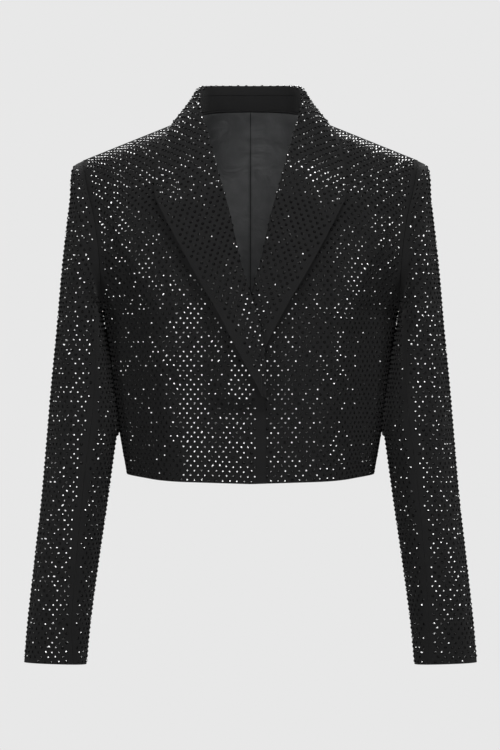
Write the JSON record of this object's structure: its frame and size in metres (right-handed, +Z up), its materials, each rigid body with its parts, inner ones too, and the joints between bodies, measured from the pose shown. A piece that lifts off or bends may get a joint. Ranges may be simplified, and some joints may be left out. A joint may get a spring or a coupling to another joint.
{
  "type": "cropped blazer",
  "caption": "Cropped evening blazer with a shawl collar, lapped front and long two-piece sleeves, small stones set all over, filled out as if worn.",
  "frame": {"origin": "in the middle of the neck opening, level with the tops of the shoulders, where a wearer's neck and shoulders hold the blazer", "axes": "+Z up along the wearer's neck, front edge towards -Y, the wearer's left towards +X"},
  "size_m": [0.5526, 0.235, 0.7104],
  "materials": {
    "suiting": "matt black woven suiting set with small black stones",
    "lining": "charcoal satin"
  },
  "bodies": {
    "root": {"front_right": "suiting", "front_left": "suiting", "back": "suiting", "collar_right": "suiting", "collar_left": "suiting", "collar_stand": "suiting", "sleeve_top_right": "suiting", "sleeve_top_left": "suiting", "sleeve_under_right": "suiting", "sleeve_under_left": "suiting", "back_lining": "lining"}
  },
  "joints": []
}
